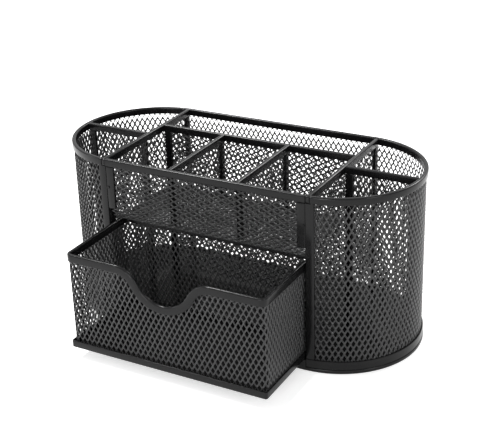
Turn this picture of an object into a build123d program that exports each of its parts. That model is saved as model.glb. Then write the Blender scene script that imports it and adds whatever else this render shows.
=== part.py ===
from build123d import *
import os
from math import acos, cos, degrees, floor, sin, sqrt

# Pen stand with a drawer: an oval desk organizer of black expanded-metal sheet.
# Millimetres, +Z up, origin on the underside, at the middle of the body.
# The drawer slides out along -Y and is drawn pulled most of the way out.

# ---------------------------------------------------------------- driving dimensions
overall_length = 225.0
overall_depth = 99.5
overall_height = 107.8

mesh_thickness = 0.9
rim_width = 2.6
rim_height = 4.2
rim_cap = 0.8
edge_rounding = 0.7

strip_thickness = 0.6
post_width = 5.0
strip_width = 4.6

band_width = 3.0
band_height = 7.8
floor_height = 7.3
floor_thickness = 0.8

cross_wall_x = 65.6
rear_compartment = 31.95
end_divider_y = -0.8
short_divider_x = 21.9

tray_bottom = 68.1
tray_bend_radius = 8.0

drawer_corner_radius = 3.0
drawer_rim_width = 2.2
drawer_rim_height = 4.7
drawer_pull = 47.5
floor_play = 0.3
side_play = 0.3
rear_play = 1.0
headroom = 0.7

pan_height = 4.2
pan_floor = 0.8
pan_front_lip = 0.6
pan_side_lip = 0.3
pan_corner_radius = 1.2

scoop_depth = 18.8
shoulder_radius = 16.0
valley_radius = 18.0

# Open diamonds of the flat panels, drawn about twice as large as the real ones.
diamond_short = 7.0
diamond_long = 12.4
strand_width = 1.7
plain_border = 0.8

# Open diamonds of the rounded ends: a coarse grid, counted round the end and up it.
end_columns = 12
end_rows = 5
end_strand = 2.2

weld_drop = 17.5
weld_radius = 0.9
weld_proud = 0.4

# ---------------------------------------------------------------- derived places
half_mesh = mesh_thickness / 2
half_rim = rim_width / 2
half_band = band_width / 2
half_drawer_rim = drawer_rim_width / 2
half_strip = half_mesh + strip_thickness
wall_y = overall_depth / 2 - half_band
end_reach = overall_length / 2 - half_band - cross_wall_x
end_radius = (wall_y**2 + end_reach**2) / (2 * end_reach)
end_centre_x = cross_wall_x + end_reach - end_radius

rim_bottom = overall_height - rim_height
mesh_top = overall_height - rim_cap
tray_floor_z = tray_bottom + half_mesh
inner_y = wall_y - half_rim
middle_divider_y = wall_y - rear_compartment
divider_end_x = cross_wall_x - half_rim
corner_x = cross_wall_x + half_rim
panel_radius = end_radius - max(half_rim, half_band)
cross_end_y = sqrt(panel_radius**2 - (corner_x - end_centre_x) ** 2)

# The drawer fills its bay, less its play: closed, its front is level with the wall.
drawer_z = floor_height + floor_play
drawer_top = tray_bottom - headroom
drawer_half_width = divider_end_x - side_play - pan_side_lip
drawer_mesh_x = drawer_half_width - half_drawer_rim
drawer_rear_y = middle_divider_y - half_rim - rear_play - drawer_pull
drawer_front_y = -wall_y - drawer_pull
front_mesh_y = drawer_front_y + half_drawer_rim
rear_mesh_y = drawer_rear_y - half_drawer_rim

front_half = drawer_mesh_x - drawer_corner_radius
mesh_foot_z = drawer_z + pan_floor

# The scoop is a valley arc between two shoulder arcs that it meets at one slope.
# On the slope a diamond's side corners need more room below the edge than its tip does.
steep_factor = 1.25
scoop_turn = acos(1 - scoop_depth / (shoulder_radius + valley_radius))
scoop_half_span = (shoulder_radius + valley_radius) * sin(scoop_turn)
scoop_meet_x = valley_radius * sin(scoop_turn)
shoulder_z = drawer_top - shoulder_radius
valley_z = drawer_top - scoop_depth + valley_radius

os.makedirs("parts", exist_ok=True)


def save(name, shape):
    """Write one piece to its own file."""
    export_step(shape, f"parts/{name}.step")
    print(name, round(shape.volume, 1))


# ---------------------------------------------------------------- planes and sections
def facing_front(y):
    """Plane across the body at depth y: its u runs along X and its v up."""
    return Plane(origin=(0, y, 0), x_dir=(1, 0, 0), z_dir=(0, -1, 0))


def facing_side(x):
    """Plane along the depth at x: its u runs along Y and its v up."""
    return Plane(origin=(x, 0, 0), x_dir=(0, 1, 0), z_dir=(1, 0, 0))


def facing_up(z):
    """Level plane at height z."""
    return Plane(origin=(0, 0, z), x_dir=(1, 0, 0), z_dir=(0, 0, 1))


def block(x0, x1, y0, y1, z0, z1):
    """A box between two opposite corners."""
    return Pos((x0 + x1) / 2, (y0 + y1) / 2, (z0 + z1) / 2) * Box(x1 - x0, y1 - y0, z1 - z0)


def rim_section(height, width=rim_width):
    """Folded channel, open below: rounded shoulders and a slot as thick as the mesh."""
    outline = Pos(0, -height / 2) * Rectangle(width, height)
    shoulders = outline.vertices().group_by(Axis.Y)[-1]
    outline = fillet(shoulders, edge_rounding)
    slot_height = height - rim_cap
    return outline - Pos(0, -height + slot_height / 2) * Rectangle(mesh_thickness, slot_height)


def band_section():
    """Folded channel of the base, open above: rounded underneath, with a slot for the mesh."""
    outline = Pos(0, band_height / 2) * Rectangle(band_width, band_height)
    outline = fillet(outline.vertices().group_by(Axis.Y)[0], edge_rounding)
    slot_height = band_height - rim_cap
    return outline - Pos(0, band_height - slot_height / 2) * Rectangle(mesh_thickness, slot_height)


def channel_along_x(section, x0, x1, y, z):
    """Push a section along X, with its own v upright."""
    plane = Plane(origin=(x0, y, z), x_dir=(0, 1, 0), z_dir=(1, 0, 0))
    return extrude(plane * section, amount=x1 - x0)


def channel_along_y(section, y0, y1, x, z):
    """Push a section along Y, with its own v upright."""
    plane = Plane(origin=(x, y1, z), x_dir=(1, 0, 0), z_dir=(0, -1, 0))
    return extrude(plane * section, amount=y1 - y0)


# ---------------------------------------------------------------- mesh panels
def diamond(u, v, wide, tall):
    """One open diamond, as a closed wire about its centre."""
    corners = [(u - wide / 2, v), (u, v - tall / 2), (u + wide / 2, v), (u, v + tall / 2)]
    return Wire.make_polygon([Vector(a, b, 0) for a, b in corners], close=True)


def diamonds(u0, u1, v0, v1, upright=True, fits=None):
    """Staggered rows of open diamonds that lie wholly inside a rectangle."""
    pitch_u = diamond_short if upright else diamond_long
    pitch_v = diamond_long if upright else diamond_short
    shrink = strand_width * sqrt(pitch_u**2 + pitch_v**2) / (pitch_u * pitch_v)
    wide = pitch_u * (1 - shrink)
    tall = pitch_v * (1 - shrink)
    u_mid = (u0 + u1) / 2
    v_mid = (v0 + v1) / 2
    reach_u = (u1 - u0 - wide) / 2
    reach_v = (v1 - v0 - tall) / 2
    holes = []
    steps_v = floor(reach_v / (pitch_v / 2))
    for row in range(-steps_v, steps_v + 1):
        stagger = 0.0 if row % 2 == 0 else pitch_u / 2
        steps_u = floor((reach_u + stagger) / pitch_u)
        for column in range(-steps_u, steps_u + 1):
            u = u_mid + column * pitch_u + stagger
            v = v_mid + row * pitch_v / 2
            if abs(u - u_mid) > reach_u:
                continue
            if fits is None or fits(u, v, wide, tall):
                holes.append(diamond(u, v, wide, tall))
    return holes


def thicken(face, plane, thickness):
    """Plate of one thickness, half of it on each side of the plane."""
    return extrude(plane.offset(-thickness / 2) * face, amount=thickness, dir=plane.z_dir)


def rectangle_wire(u0, u1, v0, v1):
    """Closed rectangle between two corners."""
    corners = [Vector(u0, v0, 0), Vector(u1, v0, 0), Vector(u1, v1, 0), Vector(u0, v1, 0)]
    return Wire.make_polygon(corners, close=True)


def mesh_panel(plane, u0, u1, v0, v1, inset, upright=True):
    """Flat mesh: inset holds the covered widths at the low u, high u, low v and high v edges."""
    open_u0 = u0 + inset[0] + plain_border
    open_u1 = u1 - inset[1] - plain_border
    open_v0 = v0 + inset[2] + plain_border
    open_v1 = v1 - inset[3] - plain_border
    holes = diamonds(open_u0, open_u1, open_v0, open_v1, upright)
    return thicken(Face(rectangle_wire(u0, u1, v0, v1), holes), plane, mesh_thickness)


# ---------------------------------------------------------------- panel with its folded frame
def end_strip(plane, u0, u1, v0, v1, slot_u0, slot_u1):
    """Folded strip over one upright edge of a panel, with a slot for the mesh inside it."""
    strip = thicken(Face(rectangle_wire(u0, u1, v0, v1)), plane, 2 * half_strip)
    return strip - thicken(Face(rectangle_wire(slot_u0, slot_u1, v0, v1)), plane, mesh_thickness)


def framed_panel(name, plane, channel, u0, u1, v0, upright=True, trim=None):
    """Save a dividing panel as its mesh and the folded frame that hems it on three sides."""
    inset = (strip_width, strip_width, 0, rim_height - rim_cap)
    mesh = mesh_panel(plane, u0, u1, v0, mesh_top, inset, upright)
    first = end_strip(plane, u0, u0 + strip_width, v0, rim_bottom, u0, u0 + strip_width)
    last = end_strip(plane, u1 - strip_width, u1, v0, rim_bottom, u1 - strip_width, u1)
    frame = Part() + channel + first + last
    if trim is not None:
        mesh -= trim
        frame -= trim
    save(f"{name}_mesh", mesh)
    save(f"{name}_frame", frame)


# ---------------------------------------------------------------- base
def beyond(side, front_x, rear_x, z0, z1):
    """Region outside one cross wall, with its own limit in front and behind."""
    far = cross_wall_x + 2 * end_reach
    wide = 2 * wall_y
    front = block(min(side * front_x, side * far), max(side * front_x, side * far), -wide, 0, z0, z1)
    rear = block(min(side * rear_x, side * far), max(side * rear_x, side * far), 0, wide, z0, z1)
    return front + rear


def end_ring(side, outer, inner, z0, z1, front_x=cross_wall_x):
    """Round plate, or ring, of one end, cut off at the cross wall."""
    centre = Pos(side * end_centre_x, 0, (z0 + z1) / 2)
    plate = centre * Cylinder(outer, z1 - z0)
    if inner > 0:
        plate -= centre * Cylinder(inner, z1 - z0)
    return plate & beyond(side, front_x, cross_wall_x, z0, z1)


def base_floor():
    """Flat floor sheet inside the base bands."""
    z0 = floor_height - floor_thickness
    sheet = block(-cross_wall_x, cross_wall_x, half_band - wall_y, wall_y - half_band, z0, floor_height)
    for side in (-1, 1):
        sheet += end_ring(side, end_radius - half_band, 0, z0, floor_height)
    return sheet


def swept_end(side, section, z, front_x=cross_wall_x):
    """Turn a section about the centre of one rounded end, from the front to the rear."""
    turned = revolve(Plane.XZ * Pos(end_radius, z) * section, Axis.Z)
    turned = Pos(side * end_centre_x, 0, 0) * turned
    return turned & beyond(side, front_x, cross_wall_x, 0, overall_height)


save("base_floor", base_floor())
for side, label in ((-1, "left"), (1, "right")):
    save(f"base_band_{label}_end", swept_end(side, band_section(), 0, divider_end_x))
save("base_band_rear", channel_along_x(band_section(), -cross_wall_x, cross_wall_x, wall_y, 0))

sill = block(-divider_end_x, divider_end_x, -wall_y - half_band, half_band - wall_y, 0, floor_height)
sill_edges = sill.edges().filter_by(Axis.X).group_by(Axis.Y)[0]
save("bay_sill", fillet(sill_edges, edge_rounding))

# ---------------------------------------------------------------- outer wall
mesh_foot = rim_cap
wall_inset = (plain_border, plain_border, band_height - mesh_foot, rim_height - rim_cap)
rear_wall = mesh_panel(
    facing_front(wall_y), -cross_wall_x, cross_wall_x, mesh_foot, mesh_top, wall_inset
)
save("rear_mesh", rear_wall)


def pierced_end():
    """Right-hand rounded end: a curved sheet with staggered diamonds cut square through it."""
    skin = end_ring(1, end_radius + half_mesh, end_radius - half_mesh, mesh_foot, mesh_top, corner_x)
    front = -acos((divider_end_x + post_width + plain_border - end_centre_x) / end_radius)
    rear = acos((cross_wall_x + plain_border - end_centre_x) / end_radius)
    turn = (rear - front) / end_columns
    low = band_height + plain_border
    rise = (rim_bottom - plain_border - low) / end_rows
    wide = end_radius * turn
    shrink = 1 - end_strand * sqrt(wide**2 + rise**2) / (wide * rise)
    face = Face(diamond(0, 0, wide * shrink, rise * shrink))
    cutter = extrude(Plane(origin=(end_radius / 2, 0, 0), x_dir=(0, 1, 0), z_dir=(1, 0, 0)) * face,
                     amount=end_radius)
    cutters = []
    for row in range(2 * end_rows - 1):
        stagger = row % 2
        for column in range(end_columns - stagger):
            angle = degrees(front + (column + (1 + stagger) / 2) * turn)
            cutters.append(Pos(end_centre_x, 0, low + (row + 1) * rise / 2) * Rot(0, 0, angle) * cutter)
    return skin - cutters


right_end = pierced_end()
save("right_end_mesh", right_end)
save("left_end_mesh", mirror(right_end, Plane.YZ))

# The top rim: a folded channel round each end, along the rear and along the tray.
for side, label in ((-1, "left"), (1, "right")):
    save(f"{label}_end_rim", swept_end(side, rim_section(rim_height), overall_height, corner_x))
rear_rim = channel_along_x(
    rim_section(rim_height), -cross_wall_x, cross_wall_x, wall_y, overall_height
)
save("rear_rim", rear_rim)
tray_rim = channel_along_x(
    rim_section(rim_height), -divider_end_x, divider_end_x, -wall_y, overall_height
)
save("tray_rim", tray_rim)

# The posts: folded strips over the front edges of the rounded ends, from band to rim.
def post(side):
    """Strip that wraps the upright front edge of one rounded end."""
    z0 = band_height
    outer = end_ring(
        side, end_radius + half_strip, end_radius - half_strip, z0, rim_bottom, divider_end_x
    )
    mesh = end_ring(side, end_radius + half_mesh, end_radius - half_mesh, z0, rim_bottom, corner_x)
    x0, x1 = sorted((side * divider_end_x, side * (divider_end_x + post_width)))
    return (outer - mesh) & block(x0, x1, -2 * wall_y, 0, z0, rim_bottom)


for side, label in ((-1, "left"), (1, "right")):
    save(f"{label}_post", post(side))

# ---------------------------------------------------------------- dividing panels
for side, label in ((-1, "left"), (1, "right")):
    x = side * cross_wall_x
    top = channel_along_y(rim_section(rim_height), -wall_y - half_rim, cross_end_y, x, overall_height)
    framed_panel(f"{label}_cross", facing_side(x), top, -cross_end_y, cross_end_y, floor_height)

top = channel_along_x(
    rim_section(rim_height), -divider_end_x, divider_end_x, middle_divider_y, overall_height
)
framed_panel(
    "middle_divider",
    facing_front(middle_divider_y),
    top,
    -divider_end_x,
    divider_end_x,
    floor_height,
    upright=False,
)

far_x = end_centre_x + sqrt(panel_radius**2 - (abs(end_divider_y) + half_rim) ** 2)
for side, label in ((-1, "left"), (1, "right")):
    u0, u1 = sorted((side * corner_x, side * far_x))
    top = channel_along_x(rim_section(rim_height), u0, u1, end_divider_y, overall_height)
    framed_panel(
        f"{label}_end_divider", facing_front(end_divider_y), top, u0, u1, floor_height
    )

# The short dividers stand on the tray, with their lower front corner cut round to its bend.
short_rear_y = middle_divider_y - half_rim
bend_y = -wall_y + tray_bend_radius
bend_z = tray_floor_z + tray_bend_radius
bend_inner = tray_bend_radius - half_mesh
tray_top = tray_bottom + mesh_thickness
bend_trim = block(-cross_wall_x, cross_wall_x, -wall_y, bend_y, tray_bottom, bend_z)
bend_trim -= Pos(0, bend_y, bend_z) * Rot(0, 90, 0) * Cylinder(bend_inner, 2 * cross_wall_x)
for side, label in ((-1, "left"), (1, "right")):
    x = side * short_divider_x
    top = channel_along_y(rim_section(rim_height), -inner_y, short_rear_y, x, overall_height)
    framed_panel(
        f"{label}_short_divider",
        facing_side(x),
        top,
        -inner_y,
        short_rear_y,
        tray_top,
        trim=bend_trim,
    )

# ---------------------------------------------------------------- tray of small compartments
tray_floor_rear = middle_divider_y - half_strip
front_sheet_x = divider_end_x - strip_thickness


def tray_mesh():
    """One bent sheet: an upright front, a round bend and a level floor."""
    front = mesh_panel(
        facing_front(-wall_y),
        -front_sheet_x,
        front_sheet_x,
        bend_z,
        mesh_top,
        (post_width, post_width, 0, rim_height - rim_cap),
        upright=False,
    )
    level = mesh_panel(
        facing_up(tray_floor_z),
        -divider_end_x,
        divider_end_x,
        bend_y,
        tray_floor_rear,
        (0, 0, 0, 0),
        upright=False,
    )
    turn = Rot(0, 90, 0) * Cylinder(tray_bend_radius + half_mesh, 2 * divider_end_x)
    turn -= Rot(0, 90, 0) * Cylinder(bend_inner, 2 * divider_end_x)
    quarter = 2 * tray_bend_radius
    turn &= block(-divider_end_x, divider_end_x, -quarter, 0, -quarter, 0)
    turn = Pos(0, bend_y, bend_z) * turn
    return Part() + front + turn + level


save("tray_mesh", tray_mesh())
for side, label in ((-1, "left"), (1, "right")):
    inner_u = side * (divider_end_x - post_width)
    strip_u = sorted((inner_u, side * divider_end_x))
    slot_u = sorted((inner_u, side * front_sheet_x))
    strip = end_strip(facing_front(-wall_y), *strip_u, bend_z, rim_bottom, *slot_u)
    save(f"tray_{label}_strip", strip)

# One weld spot on each of the tray's side strips, where it meets the post.
for side, label in ((-1, "left"), (1, "right")):
    weld_x = side * (divider_end_x - weld_radius)
    weld_y = -wall_y - half_strip - weld_proud / 2
    spot = Pos(weld_x, weld_y, overall_height - weld_drop) * Rot(90, 0, 0)
    save(f"{label}_spot_weld", spot * Cylinder(weld_radius, weld_proud))


# ---------------------------------------------------------------- drawer
def rounded_plate(half_x, y0, y1, radius, z0, z1):
    """Plate with its upright corners rounded to one radius."""
    plate = block(-half_x, half_x, y0, y1, z0, z1)
    return fillet(plate.edges().filter_by(Axis.Z), radius)


def drawer_pan():
    """Pan that holds the foot of the drawer's mesh, with a ledge round it."""
    z1 = drawer_z + pan_height
    half_x = drawer_half_width + pan_side_lip
    y0 = drawer_front_y - pan_front_lip
    body = rounded_plate(half_x, y0, drawer_rear_y, pan_corner_radius, drawer_z, z1)
    inner_x = drawer_mesh_x + half_mesh
    inner_y0 = front_mesh_y - half_mesh
    inner_y1 = rear_mesh_y + half_mesh
    corner = drawer_corner_radius + half_mesh
    inside = rounded_plate(inner_x, inner_y0, inner_y1, corner, drawer_z + pan_floor, z1)
    return body - inside


def scoop_edges(offset):
    """Top edge of the drawer's front, moved into the sheet by offset: from left to right."""
    outer = shoulder_radius - offset
    inner = valley_radius + offset
    top = drawer_top - offset
    span = scoop_half_span
    meet_x = inner * sin(scoop_turn)
    meet_z = valley_z - inner * cos(scoop_turn)
    mid_x = span - outer * sin(scoop_turn / 2)
    mid_z = shoulder_z + outer * cos(scoop_turn / 2)
    left = Line((-front_half, top), (-span, top))
    left_shoulder = ThreePointArc((-span, top), (-mid_x, mid_z), (-meet_x, meet_z))
    valley = ThreePointArc((-meet_x, meet_z), (0, valley_z - inner), (meet_x, meet_z))
    right_shoulder = ThreePointArc((meet_x, meet_z), (mid_x, mid_z), (span, top))
    right = Line((span, top), (front_half, top))
    return [left, left_shoulder, valley, right_shoulder, right]


def scoop_height(u):
    """Height of the front's top edge at u."""
    if abs(u) >= scoop_half_span:
        return drawer_top
    if abs(u) >= scoop_meet_x:
        return shoulder_z + sqrt(shoulder_radius**2 - (scoop_half_span - abs(u)) ** 2)
    return valley_z - sqrt(valley_radius**2 - u**2)


def closed_below(edges, z0):
    """Close a top edge with two sides and a straight foot."""
    start = edges[0] @ 0
    finish = edges[-1] @ 1
    right = Line((finish.X, finish.Y), (finish.X, z0))
    foot = Line((finish.X, z0), (start.X, z0))
    left = Line((start.X, z0), (start.X, start.Y))
    return Wire([*[piece.edge() for piece in edges], right.edge(), foot.edge(), left.edge()])


def under_scoop(u, v, wide, tall):
    """True where a diamond stays below the rim band of the scoop."""
    clear = drawer_rim_height + plain_border
    tip = v + tall / 2 + clear <= scoop_height(u)
    sides = [v + steep_factor * clear <= scoop_height(u + step * wide / 2) for step in (-1, 1)]
    return tip and all(sides)


def drawer_front_mesh():
    """Flat front sheet with the scooped top edge."""
    outline = closed_below(scoop_edges(rim_cap), mesh_foot_z)
    holes = diamonds(
        -front_half + plain_border,
        front_half - plain_border,
        drawer_z + pan_height + plain_border,
        drawer_top - drawer_rim_height - plain_border,
        fits=under_scoop,
    )
    return thicken(Face(outline, holes), facing_front(front_mesh_y), mesh_thickness)


def drawer_front_rim():
    """Channel along the scooped edge of the front."""
    low = drawer_top - scoop_depth - 2 * drawer_rim_height
    above = Face(closed_below(scoop_edges(0), low))
    below = Face(closed_below(scoop_edges(drawer_rim_height), low))
    plane = facing_front(front_mesh_y)
    band = thicken(above, plane, drawer_rim_width) - thicken(below, plane, 2 * drawer_rim_width)
    slot = Face(closed_below(scoop_edges(rim_cap), low))
    return band - thicken(slot, plane, mesh_thickness)


def corner_sheet(x, y, turn, thickness, z0, z1):
    """Quarter-round sheet about an upright corner axis."""
    height = z1 - z0
    ring = Cylinder(drawer_corner_radius + thickness / 2, height)
    ring -= Cylinder(drawer_corner_radius - thickness / 2, height)
    size = 2 * drawer_corner_radius
    ring &= block(0, size, 0, size, -height, height)
    return Pos(x, y, (z0 + z1) / 2) * Rot(0, 0, turn) * ring


def drawer_side_mesh(side):
    """Side sheet with its two rounded corners."""
    x = side * drawer_mesh_x
    y0 = front_mesh_y + drawer_corner_radius
    y1 = rear_mesh_y - drawer_corner_radius
    inset = (0, 0, pan_height - pan_floor, drawer_rim_height - rim_cap)
    top = drawer_top - rim_cap
    sheet = mesh_panel(facing_side(x), y0, y1, mesh_foot_z, top, inset)
    axis_x = side * front_half
    turns = (180, 90) if side < 0 else (270, 0)
    front = corner_sheet(axis_x, y0, turns[0], mesh_thickness, mesh_foot_z, top)
    rear = corner_sheet(axis_x, y1, turns[1], mesh_thickness, mesh_foot_z, top)
    return Part() + sheet + front + rear


def corner_rim(x, y, turn):
    """Quarter turn of the rim channel about an upright corner axis."""
    section = rim_section(drawer_rim_height, drawer_rim_width)
    section = Plane.XZ * Pos(drawer_corner_radius, drawer_top) * section
    return Pos(x, y, 0) * Rot(0, 0, turn) * revolve(section, Axis.Z, revolution_arc=90)


def drawer_side_rim(side):
    """Rim channel of one side with its two rounded corners."""
    y0 = front_mesh_y + drawer_corner_radius
    y1 = rear_mesh_y - drawer_corner_radius
    x = side * drawer_mesh_x
    section = rim_section(drawer_rim_height, drawer_rim_width)
    straight = channel_along_y(section, y0, y1, x, drawer_top)
    turns = (180, 90) if side < 0 else (270, 0)
    axis_x = side * front_half
    front = corner_rim(axis_x, y0, turns[0])
    rear = corner_rim(axis_x, y1, turns[1])
    return Part() + straight + front + rear


save("drawer_pan", drawer_pan())
save("drawer_front_mesh", drawer_front_mesh())
save("drawer_front_rim", drawer_front_rim())
for side, label in ((-1, "left"), (1, "right")):
    save(f"drawer_{label}_mesh", drawer_side_mesh(side))
    save(f"drawer_{label}_rim", drawer_side_rim(side))

rear_inset = (0, 0, pan_height - pan_floor, drawer_rim_height - rim_cap)
drawer_rear = mesh_panel(
    facing_front(rear_mesh_y), -front_half, front_half, mesh_foot_z, drawer_top - rim_cap, rear_inset
)
save("drawer_rear_mesh", drawer_rear)
rear_section = rim_section(drawer_rim_height, drawer_rim_width)
save("drawer_rear_rim", channel_along_x(rear_section, -front_half, front_half, rear_mesh_y, drawer_top))
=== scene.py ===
# %% [markdown]
# A desk organizer of black expanded-metal sheet, with folded steel rims and a drawer.
# The solids come first, as a fixed frame in metres: every visible piece is then made around
# that frame, in the same place and at the same size.

import bmesh
import bpy
import numpy as np
from mathutils import Matrix, Vector


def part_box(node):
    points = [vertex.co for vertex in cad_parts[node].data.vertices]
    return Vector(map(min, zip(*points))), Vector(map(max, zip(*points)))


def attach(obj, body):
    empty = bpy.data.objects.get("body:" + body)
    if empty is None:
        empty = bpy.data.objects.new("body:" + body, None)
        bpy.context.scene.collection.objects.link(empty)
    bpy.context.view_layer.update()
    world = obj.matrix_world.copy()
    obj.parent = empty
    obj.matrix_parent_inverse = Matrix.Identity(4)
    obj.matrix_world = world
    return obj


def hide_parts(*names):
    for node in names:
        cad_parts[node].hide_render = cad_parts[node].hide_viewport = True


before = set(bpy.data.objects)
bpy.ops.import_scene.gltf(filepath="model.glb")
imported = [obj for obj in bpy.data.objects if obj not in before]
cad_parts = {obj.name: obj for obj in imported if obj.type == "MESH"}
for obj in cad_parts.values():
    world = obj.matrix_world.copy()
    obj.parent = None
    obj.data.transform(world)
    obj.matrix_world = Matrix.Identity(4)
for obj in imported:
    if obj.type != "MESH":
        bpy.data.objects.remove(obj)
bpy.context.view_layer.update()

# %% [markdown]
# The camera stands where the photographer stood: in front, a little to the right and above.
# Its place was solved from the corners of the organizer, so it is written as an azimuth, an
# elevation, a roll and a distance. The small shift keeps the picture's true centre.

# %% Camera
MM = 0.001
IMAGE_WIDTH, IMAGE_HEIGHT = 480, 421
view_azimuth, view_elevation, view_roll = np.radians((29.58, 23.75, -1.90))
view_distance, view_right, view_up = 726.5 * MM, -6.62 * MM, 64.49 * MM
focal_pixels = 1159.1
centre_pixel = (237.0, 205.7)

back = np.array([
    np.sin(view_azimuth) * np.cos(view_elevation),
    -np.cos(view_azimuth) * np.cos(view_elevation),
    np.sin(view_elevation),
])
right = np.cross(-back, (0, 0, 1))
right /= np.linalg.norm(right)
up = np.cross(right, -back)
rolled_right = right * np.cos(view_roll) + up * np.sin(view_roll)
rolled_up = up * np.cos(view_roll) - right * np.sin(view_roll)
place = back * view_distance + rolled_right * view_right + rolled_up * view_up

camera_data = bpy.data.cameras.new("camera")
camera_data.sensor_width = 36.0
camera_data.lens = focal_pixels * camera_data.sensor_width / IMAGE_WIDTH
camera_data.shift_x = (IMAGE_WIDTH / 2 - centre_pixel[0]) / IMAGE_WIDTH
camera_data.shift_y = (centre_pixel[1] - IMAGE_HEIGHT / 2) / IMAGE_WIDTH
camera = bpy.data.objects.new("camera", camera_data)
turn = np.eye(4)
turn[:3, 0], turn[:3, 1], turn[:3, 2], turn[:3, 3] = rolled_right, rolled_up, back, place
camera.matrix_world = Matrix(turn.tolist())
bpy.context.collection.objects.link(camera)
bpy.context.scene.camera = camera
print("camera at", np.round(place, 3), "lens", round(camera_data.lens, 1))

# %% [markdown]
# The sizes are read from the frame's solids, in millimetres, so that every new piece lies
# where its solid lies. A solid's box gives most of them: the rear rim's box, for example,
# holds the height, the width of the folded channel and the place of the rear wall.

# %% Sizes
def span(node):
    """Lowest and highest corner of a solid's box, in millimetres."""
    low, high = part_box(node)
    return np.array(low) / MM, np.array(high) / MM


def middle_of(node, axis):
    """Middle of a solid's box along one axis."""
    low, high = span(node)
    return (low[axis] + high[axis]) / 2


def width_of(node, axis):
    """Size of a solid's box along one axis."""
    low, high = span(node)
    return high[axis] - low[axis]


height = span("rear_rim")[1][2]
rim_width, rim_height, rim_cap = width_of("rear_rim", 1), width_of("rear_rim", 2), 0.8
band_width, band_height = width_of("base_band_rear", 1), width_of("base_band_rear", 2)
floor_z = span("base_floor")[1][2]
sheet = width_of("rear_mesh", 1)
wall_y, cross_x = middle_of("rear_rim", 1), middle_of("right_cross_mesh", 0)
end_reach = span("base_band_right_end")[1][0] - band_width / 2 - cross_x
end_radius = (wall_y**2 + end_reach**2) / (2 * end_reach)
end_centre = cross_x + end_reach - end_radius
corner_x, inner_x = cross_x + rim_width / 2, cross_x - rim_width / 2
middle_y, end_y = middle_of("middle_divider_mesh", 1), middle_of("right_end_divider_mesh", 1)
short_x = middle_of("right_short_divider_mesh", 0)
tray_z = span("tray_mesh")[0][2] + sheet / 2
bend = span("tray_right_strip")[0][2] - tray_z
strip_fold, strip_width, post_width = 0.6, 4.6, width_of("right_post", 0)

drawer_top = span("drawer_front_rim")[1][2]
drawer_front, drawer_rear = middle_of("drawer_front_rim", 1), middle_of("drawer_rear_rim", 1)
drawer_rim_width, drawer_rim_height = width_of("drawer_rear_rim", 1), width_of("drawer_rear_rim", 2)
straight_x = width_of("drawer_rear_rim", 0) / 2
drawer_x = span("drawer_right_rim")[1][0] - drawer_rim_width / 2
drawer_corner = drawer_x - straight_x
pan_low, pan_high = span("drawer_pan")
pan_floor = 0.8
SIDES = ((-1, "left"), (1, "right"))
print("end radius", round(end_radius, 2), "drawer half width", round(drawer_x, 2))
print("organizer top", round(height, 2), "drawer top", round(drawer_top, 2))

# %% [markdown]
# Steel that is sprayed with black powder and baked comes out satin: nearly black, with a soft
# shine and the faint skin of an orange. A fine noise gives that skin, and a coarse one makes
# the shine and the tone a little uneven. The wire-like strands get the same finish with a paler
# base colour, which is a painted sheen for the light that their many small edges catch.

# %% Powder-coat finish
dimple_strength, dimple_depth = 0.25, 0.03 * MM
patch_scale, shine_spread = 90, 0.05
darker, lighter = 0.82, 1.18


def powder_coat(name, tone, roughness, specular, grain):
    """Satin powder coat: tone is its colour, grain the size of the skin's dimples in mm."""
    finish = bpy.data.materials.new(name)
    finish.use_nodes = True
    nodes, links = finish.node_tree.nodes, finish.node_tree.links
    coat = nodes["Principled BSDF"]
    coat.inputs["Specular IOR Level"].default_value = specular
    coordinates = nodes.new("ShaderNodeTexCoord")

    skin = nodes.new("ShaderNodeTexNoise")
    skin.inputs["Scale"].default_value = 1000 / grain
    skin.inputs["Detail"].default_value = 2
    links.new(coordinates.outputs["Object"], skin.inputs["Vector"])
    dimples = nodes.new("ShaderNodeBump")
    dimples.inputs["Strength"].default_value = dimple_strength
    dimples.inputs["Distance"].default_value = dimple_depth
    links.new(skin.outputs["Fac"], dimples.inputs["Height"])
    links.new(dimples.outputs["Normal"], coat.inputs["Normal"])

    patches = nodes.new("ShaderNodeTexNoise")
    patches.inputs["Scale"].default_value = patch_scale
    links.new(coordinates.outputs["Object"], patches.inputs["Vector"])
    shine = nodes.new("ShaderNodeMapRange")
    shine.inputs["To Min"].default_value = roughness - shine_spread
    shine.inputs["To Max"].default_value = roughness + shine_spread
    links.new(patches.outputs["Fac"], shine.inputs["Value"])
    links.new(shine.outputs["Result"], coat.inputs["Roughness"])

    shade = nodes.new("ShaderNodeMix")
    shade.data_type = "RGBA"
    shade.inputs["A"].default_value = (*[c * darker for c in tone], 1)
    shade.inputs["B"].default_value = (*[c * lighter for c in tone], 1)
    links.new(patches.outputs["Fac"], shade.inputs["Factor"])
    links.new(shade.outputs["Result"], coat.inputs["Base Color"])
    print("finish", name)
    return finish


rim_finish = powder_coat("black_powder_coat", (0.004, 0.004, 0.0042), 0.22, 0.2, 0.5)
# Painted sheen: the strands are the same black coat, but their base colour is five times paler than the rims'
# to stand in for light caught on their edges.
strand_finish_painted_sheen = powder_coat("black_strand_coat_painted_sheen", (0.020, 0.020, 0.0205), 0.30, 0.4, 0.3)
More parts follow.
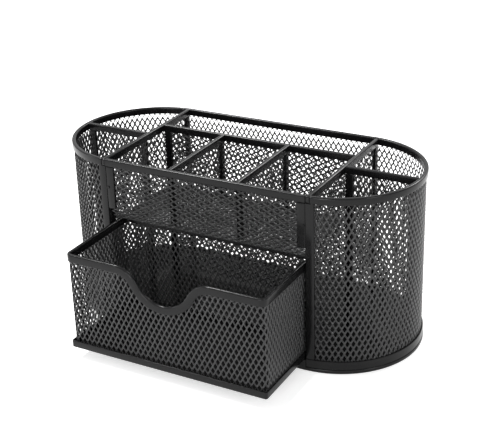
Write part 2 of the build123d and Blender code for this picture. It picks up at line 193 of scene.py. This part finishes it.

# %% [markdown]
# Each piece is a closed surface. A small helper joins the surfaces that belong to one piece,
# turns their faces outwards, gives them their finish, ties them to the body that they move
# with and hides the solids that they stand for.

# %% Making a piece
def make_piece(name, shells, body, nodes, finish, sharp=35):
    """One object from a list of (points, faces); the points are in millimetres."""
    starts = np.cumsum([0] + [len(points) for points, _ in shells])
    points = np.concatenate([points for points, _ in shells]) * MM
    faces = [tuple(v + start for v in face) for (_, shell), start in zip(shells, starts) for face in shell]
    mesh = bpy.data.meshes.new(name)
    mesh.from_pydata(points.tolist(), [], faces)
    work = bmesh.new()
    work.from_mesh(mesh)
    bmesh.ops.recalc_face_normals(work, faces=work.faces)
    work.to_mesh(mesh)
    work.free()
    mesh.polygons.foreach_set("use_smooth", np.ones(len(mesh.polygons), bool))
    if sharp is not None:
        mesh.set_sharp_from_angle(angle=np.radians(sharp))
    mesh.materials.append(finish)
    piece = bpy.data.objects.new(name, mesh)
    bpy.context.collection.objects.link(piece)
    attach(piece, body)
    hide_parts(*nodes)
    print(name, len(mesh.vertices), "points", len(mesh.polygons), "faces")


def sheet_piece(node, shell, body="organizer"):
    """One sheet of expanded metal, which stands for one solid."""
    make_piece(f"look_{node}", [shell], body, [node], strand_finish_painted_sheen, sharp=None)


def steel_piece(node, shells, body="organizer"):
    """One piece of folded steel, which stands for one solid."""
    make_piece(f"look_{node}", shells, body, [node], rim_finish)


# %% [markdown]
# Most pieces follow a path seen from above: the wall runs round the left end, along the rear
# and round the right end, and the drawer's wall is a rounded rectangle. A path is kept as a
# table of length, place and outward direction, and any length along it is looked up there.

# %% Paths
ARC_POINTS = 97


def arc(cx, cy, radius, start, end, count=49):
    """Points of a circle's arc between two angles in degrees."""
    a = np.radians(np.linspace(start, end, count))
    return np.stack([cx + radius * np.cos(a), cy + radius * np.sin(a)], -1)


def path_table(points, closed=False):
    """Length s, place and left-hand normal at each point of a polyline.

    The direction at a point is the mean of the directions before and after it."""
    if closed:
        points = np.concatenate([points, points[:1]])
    step = np.diff(points, axis=0)
    run = np.hypot(step[:, 0], step[:, 1])
    points, step, run = points[np.append(run > 1e-9, True)], step[run > 1e-9], run[run > 1e-9]
    along = step / run[:, None]
    before, after = np.vstack([along[:1], along]), np.vstack([along, along[-1:]])
    if closed:
        before[0], after[-1] = along[-1], along[0]
    tangent = before + after
    tangent /= np.linalg.norm(tangent, axis=1)[:, None]
    return {
        "s": np.concatenate([[0], np.cumsum(run)]),
        "at": points,
        "out": np.stack([-tangent[:, 1], tangent[:, 0]], -1),
    }


def on_path(path, s):
    """Place and outward direction at lengths s, read between the table's points."""
    at = np.stack([np.interp(s, path["s"], path["at"][:, k]) for k in (0, 1)], -1)
    out = np.stack([np.interp(s, path["s"], path["out"][:, k]) for k in (0, 1)], -1)
    return at, out / np.linalg.norm(out, axis=-1, keepdims=True)


def wall_line(front_x):
    """The wall seen from above, from its left front edge at front_x round to its right one."""
    front = np.degrees(np.arccos((front_x - end_centre) / end_radius))
    rear = np.degrees(np.arccos((cross_x - end_centre) / end_radius))
    left = arc(-end_centre, 0, end_radius, 180 + front, 180 - rear, ARC_POINTS)
    right = arc(end_centre, 0, end_radius, rear, -front, ARC_POINTS)
    return np.concatenate([left, right])


wall = path_table(wall_line(corner_x))
print("wall length", round(wall["s"][-1], 1))

# %% [markdown]
# The sheet is expanded metal: rows of slits are pulled open into diamonds, and the strands
# between them twist a little as they open, which is why they catch the light on one edge.
# Drawing every diamond with a cut through a plate would be slow, so one diamond is laid out
# as a ring of twelve points, repeated over the whole grid at once, and then bent on to the
# wall. Neighbours share their outer points, so the sheet is one closed surface.

# %% Expanded metal
short_pitch, long_pitch = 3.36, 6.3
strand, gauge, twist = 0.86, 0.5, 0.28
short_tip, long_tip = 0.98, 0.90
inner_half = gauge * 0.42
print("one diamond", short_pitch, "by", long_pitch, "mm, strand", strand, "mm")


def cells_between(low, high, long_low, long_high):
    """Grid numbers of the diamonds that fit between two limits each way; i + j is even."""
    i_low, i_high = int(np.ceil(low / short_pitch * 2)) + 1, int(np.floor(high / short_pitch * 2)) - 1
    j_low, j_high = int(np.ceil(long_low / long_pitch * 2)) + 1, int(np.floor(long_high / long_pitch * 2)) - 1
    i, j = np.meshgrid(np.arange(i_low, i_high + 1), np.arange(j_low, j_high + 1), indexing="ij")
    even = (i + j) % 2 == 0
    return i[even], j[even]


def cell_centres(i, j):
    """Centre of each diamond: half a pitch for each step, short way and long way."""
    return i * short_pitch / 2, j * long_pitch / 2


def expanded_sheet(i, j, bend_to):
    """Closed sheet of open diamonds. bend_to turns (short, long, outward) into a place.

    An opening is the diamond shrunk by half a strand: its scale is one less half the strand
    over the distance from the diamond's centre to its side. Its tips are drawn in a little
    more. A grid point's two whole numbers are packed into one code, so that points which
    neighbours share are found all at once."""
    corner = np.array([(3, 0), (0, 3), (-3, 0), (0, -3)])
    third = np.arange(3)[None, :, None] / 3
    ring = (corner[:, None] * (1 - third) + np.roll(corner, -1, 0)[:, None] * third).reshape(12, 2)
    ring = np.rint(ring).astype(int)
    half = np.array([short_pitch, long_pitch]) / 2
    side_distance = half.prod() / np.hypot(*half)
    pull = np.tile([0.0, 1.0, 1.0], 4)
    pull[[0, 6]], pull[[3, 9]] = short_tip, long_tip
    opening = ring / 3 * half * (1 - strand / 2 / side_distance) * pull[:, None]
    lean = twist * opening[:, 0] / np.abs(opening[:, 0]).max()

    centre = np.stack([i, j], -1)
    key = 3 * centre[:, None] + ring[None]
    stride = np.int64(100000)
    code = (key[..., 0] + stride // 2) * stride + key[..., 1] + stride // 2
    shared, index = np.unique(code.ravel(), return_inverse=True)
    index = index.reshape(code.shape)
    outer = np.stack([shared // stride - stride // 2, shared % stride - stride // 2], -1) / 3 * half
    count = len(shared)
    hole = (centre * half)[:, None] + opening[None]

    def hole_ring(shift):
        level = np.broadcast_to(lean + shift, hole.shape[:2])
        return np.concatenate([hole, level[..., None]], -1).reshape(-1, 3)

    flat = np.concatenate([
        np.column_stack([outer, np.full(count, gauge / 2)]),
        np.column_stack([outer, np.full(count, -gauge / 2)]),
        hole_ring(inner_half),
        hole_ring(-inner_half),
    ])
    top, bottom = index, index + count
    inner = 2 * count + np.arange(len(i) * 12).reshape(-1, 12)
    lower = inner + len(i) * 12
    after = lambda a: np.roll(a, -1, 1)
    quads = [
        np.stack([top, after(top), after(inner), inner], -1),
        np.stack([inner, after(inner), after(lower), lower], -1),
        np.stack([lower, after(lower), after(bottom), bottom], -1),
    ]
    cell_code = (centre[:, 0] + stride // 2) * stride + centre[:, 1] + stride // 2
    for side, (di, dj) in enumerate(((1, 1), (-1, 1), (-1, -1), (1, -1))):
        alone = ~np.isin(cell_code + di * stride + dj, cell_code)
        a = np.arange(3 * side, 3 * side + 3)
        b = (a + 1) % 12
        rim_top, rim_bottom = top[alone], bottom[alone]
        quads.append(np.stack([rim_top[:, a], rim_bottom[:, a], rim_bottom[:, b], rim_top[:, b]], -1))
    faces = np.concatenate([q.reshape(-1, 4) for q in quads])
    return bend_to(flat[:, 0], flat[:, 1], flat[:, 2]), faces.tolist()


# %% Outer wall
def on_wall(s, z, out):
    """Short way along the wall's length, long way up."""
    at, normal = on_path(wall, s)
    return np.column_stack([at + normal * out[:, None], z])


edge_margin = 0.2
wall_length = wall["s"][-1]
rear_start, rear_stop = wall["s"][ARC_POINTS - 1], wall["s"][ARC_POINTS]
wall_i, wall_j = cells_between(edge_margin, wall_length - edge_margin, rim_cap, height - rim_cap)
wall_s, _ = cell_centres(wall_i, wall_j)
for node, near, far in (
    ("left_end_mesh", 0, rear_start),
    ("rear_mesh", rear_start, rear_stop),
    ("right_end_mesh", rear_stop, wall_length),
):
    own = (wall_s >= near) & (wall_s < far)
    sheet_piece(node, expanded_sheet(wall_i[own], wall_j[own], on_wall))

# %% [markdown]
# Inside, the sheet is cut into flat panels. The long middle panel and the tray are turned so
# that their diamonds lie on their side, because that wastes less sheet. A panel stops at the
# rims that cross it, and the short dividers also stop above the tray's bend.

# %% Flat panels
inside_radius = end_radius - rim_width / 2
cross_end = np.sqrt(inside_radius**2 - (corner_x - end_centre) ** 2)
divider_end = end_centre + np.sqrt(inside_radius**2 - (abs(end_y) + rim_width / 2) ** 2)
short_front, short_rear = -wall_y + rim_width / 2, middle_y - rim_width / 2
front_margin, bend_reach = 1, 6

for side, label in SIDES:
    i, j = cells_between(-cross_end, cross_end, floor_z, height - rim_cap)
    place = lambda p, q, n, x=side * cross_x: np.column_stack([x + n, p, q])
    sheet_piece(f"{label}_cross_mesh", expanded_sheet(i, j, place))

    i, j = cells_between(*sorted((side * corner_x, side * divider_end)), floor_z, height - rim_cap)
    place = lambda p, q, n: np.column_stack([p, end_y + n, q])
    sheet_piece(f"{label}_end_divider_mesh", expanded_sheet(i, j, place))

    i, j = cells_between(front_margin + short_front, short_rear, tray_z + sheet / 2, height - rim_cap)
    p, q = cell_centres(i, j)
    clear = (p > bend_reach - wall_y) | (q > tray_z + bend)
    place = lambda p, q, n, x=side * short_x: np.column_stack([x + n, p, q])
    sheet_piece(f"{label}_short_divider_mesh", expanded_sheet(i[clear], j[clear], place))

i, j = cells_between(floor_z, height - rim_cap, -inner_x, inner_x)
place = lambda p, q, n: np.column_stack([q, middle_y + n, p])
sheet_piece("middle_divider_mesh", expanded_sheet(i, j, place))

# %% Tray
tray_front = np.array([(-wall_y, height - rim_cap)])
tray_turn = arc(-wall_y + bend, tray_z + bend, bend, 180, 270, 25)
tray_rear = np.array([(middle_y - sheet / 2 - strip_fold, tray_z)])
tray_path = path_table(np.concatenate([tray_front, tray_turn, tray_rear]))


def on_tray(s, x, out):
    """Short way down the front, round the bend and along the floor; long way across."""
    at, normal = on_path(tray_path, s)
    return np.column_stack([x, at - normal * out[:, None]])


i, j = cells_between(0, tray_path["s"][-1], strip_fold - inner_x, inner_x - strip_fold)
sheet_piece("tray_mesh", expanded_sheet(i, j, on_tray))

# %% [markdown]
# The drawer's wall is one strip of sheet bent round four corners, with a scoop cut into its
# front for the fingers. The scoop is a valley arc that two shoulder arcs lead into.

# %% Drawer sheet
scoop_depth = width_of("drawer_front_rim", 2) - drawer_rim_height
shoulder, valley = 16.0, 18.0
scoop_turn = np.arccos(1 - scoop_depth / (shoulder + valley))
scoop_span, scoop_meet = (shoulder + valley) * np.sin(scoop_turn), valley * np.sin(scoop_turn)


def scoop_z(x):
    """Height of the drawer's front edge at x: valley arc, shoulder arc or straight."""
    x = np.abs(x)
    in_valley = drawer_top - scoop_depth + valley - np.sqrt(np.maximum(valley**2 - x**2, 0))
    on_shoulder = drawer_top - shoulder + np.sqrt(np.maximum(shoulder**2 - (scoop_span - x) ** 2, 0))
    return np.where(x < scoop_meet, in_valley, np.where(x < scoop_span, on_shoulder, drawer_top))


corner_front, corner_rear = drawer_front + drawer_corner, drawer_rear - drawer_corner
CORNER_POINTS = 13


def drawer_corners():
    """The four round corners seen from above, from the rear right to the rear left."""
    def quarter(side, y, start, end):
        return arc(side * straight_x, y, drawer_corner, start, end, CORNER_POINTS)
    return np.concatenate([
        quarter(1, corner_rear, 90, 0), quarter(1, corner_front, 0, -90),
        quarter(-1, corner_front, 270, 180), quarter(-1, corner_rear, 180, 90),
    ])


drawer_path = path_table(np.concatenate([[(0, drawer_rear)], drawer_corners()]), closed=True)
round_length = drawer_path["s"][-1]
cells_round = 2 * int(round(round_length / short_pitch))
stretch = round_length / (cells_round / 2 * short_pitch)


def on_drawer(s, z, out):
    """Short way round the drawer from the middle of its rear, long way up."""
    at, normal = on_path(drawer_path, (s * stretch) % round_length)
    return np.column_stack([at + normal * out[:, None], z])


last = cells_round / 2 * short_pitch + short_pitch
i, j = cells_between(-short_pitch, last, pan_low[2] + pan_floor, drawer_top - rim_cap)
own = (i >= 0) & (i < cells_round)
i, j = i[own], j[own]
s, z = cell_centres(i, j)
at, _ = on_path(drawer_path, s * stretch)
x, y = at[:, 0], at[:, 1]
half_cell, scoop_margin = short_pitch / 2, 1
corner_tops = ((0, z + long_pitch / 2), (half_cell, z), (-half_cell, z))
low_enough = np.all([top < scoop_z(x + shift) - scoop_margin for shift, top in corner_tops], axis=0)
between = np.abs(x) <= straight_x
for node, part in (
    ("drawer_front_mesh", (y < corner_front) & low_enough & between),
    ("drawer_left_mesh", x < -straight_x),
    ("drawer_rear_mesh", (y > corner_rear) & between),
    ("drawer_right_mesh", x > straight_x),
):
    sheet_piece(node, expanded_sheet(i[part], j[part], on_drawer), "drawer")

# %% [markdown]
# Every raw edge of the sheet is closed by a folded channel of thin steel. Its section, with
# two round shoulders and a tight fold below, is carried along the edge that it covers.

# %% Folded channels
shoulder_round, foot_round, strip_round = 0.8, 0.3, 0.45
END_RINGS = 5


def rounded_section(width, tall, top_radius, foot_radius, steps=5):
    """Closed outline, u across and v up, with v = 0 at the top: two shoulders, two feet."""
    def corner(cu, cv, radius, start):
        a = np.radians(np.linspace(start, start + 90, steps))
        return np.stack([cu + radius * np.cos(a), cv + radius * np.sin(a)], -1)
    w = width / 2
    return np.concatenate([
        corner(w - top_radius, -top_radius, top_radius, 0),
        corner(top_radius - w, -top_radius, top_radius, 90),
        corner(foot_radius - w, foot_radius - tall, foot_radius, 180),
        corner(w - foot_radius, foot_radius - tall, foot_radius, 270),
    ])


def carried(section, at, across, upward, closed=False, end_round=0.0):
    """Section carried along stations: place + u * across + v * upward, ends rounded over.

    A rounded end is a quarter circle: its first rings shrink as they near the very end."""
    sections = np.broadcast_to(section, (len(at), *section.shape)).copy()
    if end_round > 0 and not closed:
        low, high = section.min(0), section.max(0)
        middle, half = (low + high) / 2, (high - low) / 2
        a = np.radians(np.linspace(90, 0, END_RINGS))
        inset, depth = end_round * (1 - np.cos(a)), end_round * (1 - np.sin(a))
        small = middle + (section - middle) * (1 - inset[:, None, None] / half)
        first = (at[1] - at[0]) / np.linalg.norm(at[1] - at[0])
        last = (at[-1] - at[-2]) / np.linalg.norm(at[-1] - at[-2])
        head = at[0] + first * depth[:, None]
        tail = at[-1] - last * depth[::-1, None]
        at = np.concatenate([head, at[1:-1], tail])
        repeats = np.ones(len(across), int)
        repeats[[0, -1]] = END_RINGS
        across, upward = np.repeat(across, repeats, 0), np.repeat(upward, repeats, 0)
        sections = np.concatenate([small, sections[1:-1], small[::-1]])
    points = at[:, None] + sections[..., :1] * across[:, None] + sections[..., 1:] * upward[:, None]
    m, k = points.shape[:2]
    number = np.arange(m * k).reshape(m, k)
    if closed:
        number = np.vstack([number, number[:1]])
    a, b = number[:-1], number[1:]
    quads = np.stack([a, np.roll(a, -1, 1), np.roll(b, -1, 1), b], -1).reshape(-1, 4).tolist()
    if not closed:
        quads += [tuple(number[0].tolist()), tuple(number[-1, ::-1].tolist())]
    return points.reshape(-1, 3), quads


def level_run(section, points, z, closed=False, end_round=0.0):
    """Channel along a level path: across is the path's outward direction, upward is +Z."""
    path = path_table(np.asarray(points, float), closed)
    last = -1 if closed else None
    at = np.column_stack([path["at"], np.full(len(path["at"]), z)])[:last]
    across = np.column_stack([path["out"], np.zeros(len(at) if not closed else len(at) + 1)])[:last]
    upward = np.broadcast_to([0.0, 0.0, 1.0], at.shape)
    return carried(section, at, across, upward, closed, end_round)


def upright_strip(width, thick, at, along, z0, z1, round_ends=0.3):
    """Flat strip standing from z0 to z1: width runs along a level direction."""
    section = rounded_section(width, thick, strip_round, strip_round, 4) + (0, thick / 2)
    along = np.asarray(along, float) / np.linalg.norm(along)
    normal = np.array([along[1], -along[0], 0.0])
    stations = np.array([(*at, z0), (*at, (z0 + z1) / 2), (*at, z1)])
    across = np.broadcast_to([along[0], along[1], 0.0], stations.shape)
    return carried(section, stations, across, np.broadcast_to(normal, stations.shape), end_round=round_ends)


rim = rounded_section(rim_width, rim_height, shoulder_round, foot_round)
hem = sheet + 2 * strip_fold
rim_low = height - rim_height
print("rim section", rim_width, "by", rim_height, "mm,", len(rim), "points")

# %% Top rims
wall_rim = level_run(rim, wall["at"], height, end_round=0.4)
wall_rim_nodes = ["left_end_rim", "rear_rim", "right_end_rim"]
make_piece("wall_rim", [wall_rim], "organizer", wall_rim_nodes, rim_finish)
tray_rim = level_run(rim, [(-inner_x, -wall_y), (inner_x, -wall_y)], height)
steel_piece("tray_rim", [tray_rim])

# %% Frames of the dividing panels
front_strip_lift = 3.4
half_strip = strip_width / 2

for side, label in SIDES:
    x = side * cross_x
    steel_piece(f"{label}_cross_frame", [
        level_run(rim, [(x, cross_end), (x, -wall_y - rim_width / 2)], height, end_round=0.9),
        upright_strip(strip_width, hem, (x, half_strip - cross_end), (0, 1), floor_z, rim_low),
        upright_strip(strip_width, hem, (x, cross_end - half_strip), (0, 1), floor_z, rim_low),
    ])

    near, far = side * corner_x, side * divider_end
    steel_piece(f"{label}_end_divider_frame", [
        level_run(rim, [(near, end_y), (far, end_y)], height),
        upright_strip(strip_width, hem, (near + side * half_strip, end_y), (1, 0), floor_z, rim_low),
        upright_strip(strip_width, hem, (far - side * half_strip, end_y), (1, 0), floor_z, rim_low),
    ])

    x, foot = side * short_x, tray_z + front_strip_lift
    steel_piece(f"{label}_short_divider_frame", [
        level_run(rim, [(x, short_rear), (x, short_front)], height),
        upright_strip(strip_width, hem, (x, short_front + half_strip), (0, 1), foot, rim_low),
        upright_strip(strip_width, hem, (x, short_rear - half_strip), (0, 1), tray_z + sheet / 2, rim_low),
    ])

shells = [level_run(rim, [(-inner_x, middle_y), (inner_x, middle_y)], height)]
for side, _ in SIDES:
    at = (side * (inner_x - half_strip), middle_y)
    shells.append(upright_strip(strip_width, hem, at, (1, 0), floor_z, rim_low))
steel_piece("middle_divider_frame", shells)

# %% Posts and tray strips
for side, label in SIDES:
    angle = np.arccos((inner_x + post_width / 2 - end_centre) / end_radius)
    at = (side * (end_centre + end_radius * np.cos(angle)), -end_radius * np.sin(angle))
    along = (np.sin(angle), side * np.cos(angle))
    steel_piece(f"{label}_post", [upright_strip(post_width, hem, at, along, band_height, rim_low)])
    at = (side * (inner_x - post_width / 2), -wall_y)
    shell = upright_strip(post_width, hem, at, (1, 0), tray_z + bend, rim_low, round_ends=1.0)
    steel_piece(f"tray_{label}_strip", [shell])

# %% [markdown]
# The base band is a channel that opens upwards. Its lower edge is rolled into a bead, and a
# fine groove runs between the bead and the flat band above it.

# %% Base band
def beaded_section(bead=2.6, groove=0.35, step=0.2, chamfer=0.3, curl=0.9):
    """Band outline: a flat band, a V-shaped groove on each side and a bead that stands proud.

    Its right half is listed from the top down and then mirrored. The bead ends in a quarter
    circle of radius curl."""
    flat, roll = band_width / 2 - step, band_width / 2
    at_groove = bead - band_height
    a = np.radians(np.linspace(0, 90, 6))
    bulge = roll - curl + curl * np.cos(a), at_groove - bead + curl - curl * np.sin(a)
    bead_top = np.array([(roll - 0.15, at_groove - 0.25), (roll, at_groove - 0.6)])
    right = np.concatenate([
        [(flat - chamfer, 0), (flat, -chamfer), (flat, at_groove + chamfer), (flat - groove, at_groove)],
        bead_top,
        np.stack(bulge, -1),
    ])
    return np.concatenate([right, right[::-1] * (-1, 1)])


base = level_run(beaded_section(), wall_line(inner_x), band_height, end_round=0.4)
band_nodes = ["base_band_left_end", "base_band_rear", "base_band_right_end"]
make_piece("base_band", [base], "organizer", band_nodes, rim_finish)

# %% [markdown]
# The drawer's rim is one closed loop. Its front follows the scoop, where "up" leans with the
# curve, and the other three sides are level.

# %% Drawer rim
scoop_x = np.concatenate([
    np.linspace(scoop_span, scoop_meet, 17)[:-1],
    np.linspace(scoop_meet, -scoop_meet, 41),
    np.linspace(-scoop_meet, -scoop_span, 17)[1:],
])
edge = np.stack([scoop_x, scoop_z(scoop_x)], -1)
tangent = np.gradient(edge, axis=0)
tangent /= np.linalg.norm(tangent, axis=1)[:, None]
front_at = np.column_stack([edge[:, 0], np.full(len(edge), drawer_front), edge[:, 1]])
front_up = np.column_stack([tangent[:, 1], np.zeros(len(edge)), -tangent[:, 0]])
level = path_table(np.roll(drawer_corners(), 2 * CORNER_POINTS, axis=0))
level_at = np.column_stack([level["at"], np.full(len(level["at"]), drawer_top)])
at = np.concatenate([front_at, level_at])
across = np.concatenate([np.broadcast_to([0.0, -1.0, 0.0], front_at.shape),
                         np.column_stack([level["out"], np.zeros(len(level_at))])])
upward = np.concatenate([front_up, np.broadcast_to([0.0, 0.0, 1.0], level_at.shape)])
drawer_rim = rounded_section(drawer_rim_width, drawer_rim_height, shoulder_round, foot_round)
drawer_rim_nodes = ["drawer_front_rim", "drawer_left_rim", "drawer_right_rim", "drawer_rear_rim"]
make_piece("drawer_rim", [carried(drawer_rim, at, across, upward, closed=True)], "drawer",
           drawer_rim_nodes, rim_finish)

# %% [markdown]
# The drawer's pan is pressed from one plate: a level floor with a low wall round it. Its top
# edge is a little round, which draws one thin line of light along the front.

# %% Drawer pan
pan_wall_width, lip_round, pan_foot_round = pan_high[0] - drawer_x - sheet / 2, 0.32, 0.4
pan_wall = rounded_section(pan_wall_width, pan_high[2] - pan_low[2], lip_round, pan_foot_round)
half_wall = pan_wall_width / 2
outline_x = pan_high[0] - half_wall
outline_front, outline_rear = pan_low[1] + half_wall, pan_high[1] - half_wall
pan_corner, plate_inset, plate_lift = 0.9, 0.2, 0.05


def pan_outline(shrink=0.0):
    """Rounded rectangle through the middle of the pan's wall, moved inwards by shrink."""
    def quarter(side, y, start):
        return arc(side * (outline_x - pan_corner), y, pan_corner - shrink, start, start - 90, 7)

    front, rear = outline_front + pan_corner, outline_rear - pan_corner
    right_side = [quarter(1, rear, 90), quarter(1, front, 0)]
    left_side = [quarter(-1, front, 270), quarter(-1, rear, 180)]
    return np.concatenate(right_side + left_side)


wall_shell = level_run(pan_wall, pan_outline(), pan_high[2], closed=True)
plate = pan_outline(plate_inset)
ring = len(plate)
plate_points = np.concatenate([
    np.column_stack([plate, np.full(ring, pan_low[2] + lift)]) for lift in (pan_floor, plate_lift)
])
number = np.arange(ring)
sides = np.stack([number, np.roll(number, -1), np.roll(number, -1) + ring, number + ring], -1).tolist()
plate_shell = (plate_points, [tuple(number.tolist()), tuple((number[::-1] + ring).tolist()), *sides])
steel_piece("drawer_pan", [wall_shell, plate_shell], "drawer")

# %% [markdown]
# Four solids already look right, so they are kept as they are and only get the finish.

# %% Finishes of the solids that stay
for node in ("base_floor", "bay_sill", "left_spot_weld", "right_spot_weld"):
    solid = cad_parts[node]
    solid.data.materials.clear()
    solid.data.materials.append(rim_finish)
    print("kept", node)

# %% [markdown]
# The object stands on a pale floor in a pale room. Floor and room glow for the rays that see
# them directly, in a reflection or through something clear, so that they look white and the
# floor still keeps the shadow, but they light nothing with that glow.

# %% Floor
def ray_is_seen(nodes, links):
    """Socket that is 1 for a ray from the camera, off a shiny surface or through a clear one."""
    light_path = nodes.new("ShaderNodeLightPath")
    seen = light_path.outputs["Is Camera Ray"]
    for other in ("Is Glossy Ray", "Is Transmission Ray"):
        either = nodes.new("ShaderNodeMath")
        either.operation = "MAXIMUM"
        links.new(seen, either.inputs[0])
        links.new(light_path.outputs[other], either.inputs[1])
        seen = either.outputs["Value"]
    return seen


reach = 6
floor_mesh = bpy.data.meshes.new("floor")
floor_corners = [(-reach, -reach, 0), (reach, -reach, 0), (reach, reach, 0), (-reach, reach, 0)]
floor_mesh.from_pydata(floor_corners, [], [(0, 1, 2, 3)])
floor = bpy.data.objects.new("floor", floor_mesh)
bpy.context.collection.objects.link(floor)
paper = bpy.data.materials.new("white_paper")
paper.use_nodes = True
nodes, links = paper.node_tree.nodes, paper.node_tree.links
white = nodes["Principled BSDF"]
white.inputs["Base Color"].default_value = (0.86, 0.86, 0.86, 1)
white.inputs["Roughness"].default_value = 0.9
white.inputs["Emission Color"].default_value = (1, 1, 1, 1)
glow = nodes.new("ShaderNodeMath")
glow.operation = "MULTIPLY"
glow.inputs[1].default_value = 0.55
links.new(ray_is_seen(nodes, links), glow.inputs[0])
links.new(glow.outputs["Value"], white.inputs["Emission Strength"])
floor_mesh.materials.append(paper)
print("floor", 2 * reach, "m wide")

# %% World
world = bpy.data.worlds.new("studio")
bpy.context.scene.world = world
world.use_nodes = True
nodes, links = world.node_tree.nodes, world.node_tree.links
dim, bright = nodes["Background"], nodes.new("ShaderNodeBackground")
either = nodes.new("ShaderNodeMixShader")
dim.inputs["Color"].default_value = bright.inputs["Color"].default_value = (1, 1, 1, 1)
dim.inputs["Strength"].default_value, bright.inputs["Strength"].default_value = 0.45, 1.0
links.new(ray_is_seen(nodes, links), either.inputs["Fac"])
links.new(dim.outputs["Background"], either.inputs[1])
links.new(bright.outputs["Background"], either.inputs[2])
links.new(either.outputs["Shader"], nodes["World Output"].inputs["Surface"])
print("world: strength 1 for the camera and in reflections, 0.45 as light")

# %% [markdown]
# A thin rounded edge shows a lamp as a line of light. The long lamp high on the left and the
# one behind on the right draw such lines along the rims, and three weak ones fill the front
# and both sides.

# %% Lamps
def lamp(name, at, wide, tall, watts):
    """Rectangular area lamp that looks at the middle of the organizer."""
    data = bpy.data.lights.new(name, "AREA")
    data.shape = "RECTANGLE"
    data.size, data.size_y, data.energy = wide, tall, watts
    thing = bpy.data.objects.new(name, data)
    thing.location = at
    thing.rotation_euler = (Vector((0, -0.02, 0.05)) - Vector(at)).to_track_quat("-Z", "Y").to_euler()
    bpy.context.collection.objects.link(thing)
    print("lamp", name, watts, "W")


lamp("overhead", (-0.60, 0.0, 1.15), 0.8, 0.16, 17)
lamp("behind_right", (0.25, 1.0, 0.85), 0.6, 0.2, 7)
lamp("from_front", (0.15, -1.5, 0.45), 0.5, 0.4, 9)
lamp("from_right", (1.3, -0.5, 0.6), 0.4, 0.4, 5)
lamp("from_left", (-1.2, -0.6, 0.5), 0.4, 0.4, 3)
bpy.context.scene.view_settings.view_transform = "Standard"
